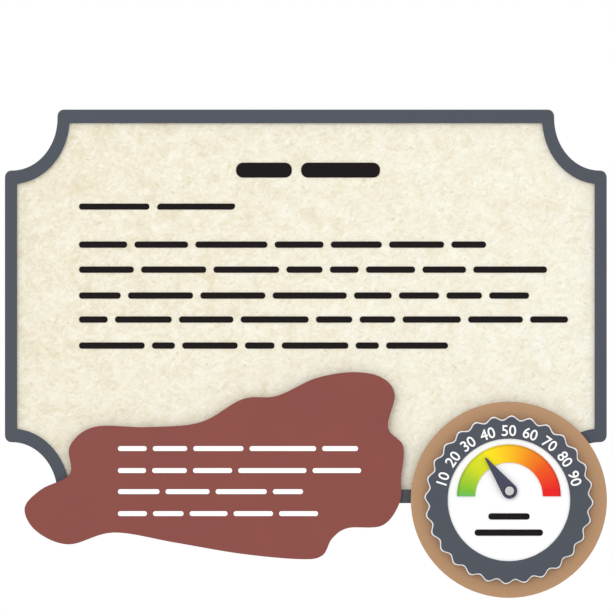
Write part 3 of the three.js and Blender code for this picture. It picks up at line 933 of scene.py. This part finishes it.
class SignPointer(bpy.types.Operator):
    """Make the pointer and the pin that it turns on"""

    bl_idname = "sign.pointer"
    bl_label = "Pointer"

    def execute(self, context):
        colours, sizes = context.scene.sign_colours, context.scene.sign_sizes
        add_piece("dial_pointer", eased_copy("pointer", sizes.thin_round),
                  satin("pointer_satin", colours.pointer, 0.4, 0.2, 0.01), POINTER,
                  ["pointer"])
        foot = PIN_HIGH.y
        head = foot - PIN_LOW.y
        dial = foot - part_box("dial_ring")[1].y
        pointer_low, pointer_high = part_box("pointer")
        under = foot - pointer_high.y - GAP
        over = foot - pointer_low.y - SEAT_DEPTH + GAP
        bm = turned([
            (0, 0), (PIN_SHAFT, 0), (PIN_SHAFT, dial), (PIN_COLLAR, dial), (PIN_COLLAR, under),
            (PIN_SHAFT, under), (PIN_SHAFT, over), (PIN_HEAD - 0.15 * MM, over),
            (PIN_HEAD, over + 0.15 * MM), (PIN_HEAD, head - 0.25 * MM),
            (PIN_HEAD - 0.03 * MM, head - 0.12 * MM), (PIN_HEAD - 0.12 * MM, head - 0.03 * MM),
            (PIN_HEAD - 0.25 * MM, head), (0, head),
        ], 64)
        bmesh.ops.transform(bm, matrix=facing_at(PIN_X, foot, PIN_Z), verts=bm.verts)
        add_piece("pin_turned", bm, turned_metal("pin_metal", colours.pin, PIN_X, PIN_Z), SIGN,
                  ["pointer_pin"])
        return {"FINISHED"}


class SignBoard(bpy.types.Operator):
    """Make the plywood backing board"""

    bl_idname = "sign.backing_board"
    bl_label = "Backing board"

    def execute(self, context):
        colours, sizes = context.scene.sign_colours, context.scene.sign_sizes
        bm = eased_copy("backing_board", sizes.thin_round,
                        lambda edge: all(v.co.y > BOARD_BACK - LEVEL for v in edge.verts), 2)
        add_piece("board_plywood", bm, plywood("plywood_veneer", colours.wood), SIGN,
                  ["backing_board"])
        return {"FINISHED"}


class SignHanger(bpy.types.Operator):
    """Make the hanging rail and the rubber bumpers"""

    bl_idname = "sign.hanger"
    bl_label = "Hanger"

    def execute(self, context):
        colours, sizes = context.scene.sign_colours, context.scene.sign_sizes
        add_piece("rail_profile", eased_copy("hanging_rail", sizes.thin_round),
                  brushed_metal("brushed_aluminium", colours.aluminium), SIGN,
                  ["hanging_rail"])
        rubber = matt("bumper_rubber", colours.rubber)
        for number in (1, 2):
            low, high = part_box(f"bumper_{number}")
            radius, tall = (high.x - low.x) / 2, high.y - low.y
            bm = turned([
                (0, 0), (radius, 0), (radius, 0.35 * tall), (0.97 * radius, 0.6 * tall),
                (0.88 * radius, 0.88 * tall), (0.8 * radius, tall - 0.15 * MM),
                (0.74 * radius, tall), (0.4 * radius, tall), (0.36 * radius, 0.94 * tall),
                (0.34 * radius, 0.7 * tall), (0, 0.7 * tall),
            ])
            place = Matrix.Translation(((low.x + high.x) / 2, low.y, (low.z + high.z) / 2))
            bmesh.ops.transform(bm, matrix=place @ Matrix.Rotation(math.radians(-90), 4, "X"),
                                verts=bm.verts)
            add_piece(f"bumper_foot_{number}", bm, rubber, SIGN,
                      [f"bumper_{number}"])
        return {"FINISHED"}


class SignFixings(bpy.types.Operator):
    """Make the screws and the spacers behind the two plates"""

    bl_idname = "sign.fixings"
    bl_label = "Screws and spacers"

    def execute(self, context):
        colours, sizes = context.scene.sign_colours, context.scene.sign_sizes
        zinc = zinc_plate("zinc_plating", colours.zinc)
        nylon = matt("black_nylon", colours.nylon, 0.6)
        add_screws("frame_screws", [f"frame_screw_{n}" for n in range(1, 9)],
                   countersunk_profile, FRAME_SCREW, zinc)
        for plate, count in (("hide", 4), ("badge", 3)):
            add_screws(f"{plate}_screws", [f"{plate}_screw_{n}" for n in range(1, count + 1)],
                       countersunk_profile, PLATE_SCREW, zinc)
            for number in range(1, count + 1):
                node = f"{plate}_spacer_{number}"
                bm = eased_copy(node, sizes.thin_round, segments=2)
                add_piece(f"{plate}_standoff_{number}", bm, nylon, SIGN, [node])
        add_screws("rail_screws", [f"rail_screw_{n}" for n in range(1, 5)], pan_profile,
                   RAIL_SCREW, zinc)
        return {"FINISHED"}


def countersunk_profile(radius, length, shank, head):
    """Flat head at z = 0 and point downwards."""
    return [
        (0, 0), (radius - 0.15 * MM, 0), (radius, -0.12 * MM), (shank, -head),
        (shank, shank - length), (0, -length),
    ]


def pan_profile(radius, length, shank, head):
    """Domed head with its top at z = 0 and point downwards."""
    return [
        (0, 0), (0.45 * radius, -0.04 * head), (0.72 * radius, -0.16 * head),
        (0.9 * radius, -0.38 * head), (radius, -0.7 * head), (radius, -head), (shank, -head),
        (shank, shank - length), (0, -length),
    ]


class SIGN_PT_build(bpy.types.Panel):
    """The sign's pieces, sizes and colours"""

    bl_label = "Information sign"
    bl_idname = "SIGN_PT_build"
    bl_space_type = "VIEW_3D"
    bl_region_type = "UI"
    bl_category = "Sign"

    def draw(self, context):
        for operator in OPERATORS:
            self.layout.operator(operator.bl_idname)
        for group in (context.scene.sign_sizes, context.scene.sign_colours):
            for name in group.bl_rna.properties.keys():
                if name not in {"rna_type", "name"}:
                    self.layout.prop(group, name)


OPERATORS = (
    SignStage, SignFrame, SignPanel, SignHide, SignBadge, SignDial, SignScale, SignPointer,
    SignBoard, SignHanger, SignFixings,
)


def register():
    for kind in (SignSizes, SignColours, *OPERATORS, SIGN_PT_build):
        bpy.utils.register_class(kind)
    bpy.types.Scene.sign_sizes = bpy.props.PointerProperty(type=SignSizes)
    bpy.types.Scene.sign_colours = bpy.props.PointerProperty(type=SignColours)


def unregister():
    del bpy.types.Scene.sign_colours
    del bpy.types.Scene.sign_sizes
    for kind in reversed((SignSizes, SignColours, *OPERATORS, SIGN_PT_build)):
        bpy.utils.unregister_class(kind)


def main():
    register()
    bpy.ops.sign.stage()
    bpy.ops.sign.frame_moulding()
    bpy.ops.sign.face_panel()
    bpy.ops.sign.hide_plate()
    bpy.ops.sign.badge()
    bpy.ops.sign.dial()
    bpy.ops.sign.scale()
    bpy.ops.sign.pointer()
    bpy.ops.sign.backing_board()
    bpy.ops.sign.hanger()
    bpy.ops.sign.fixings()


if __name__ == "__main__":
    main()
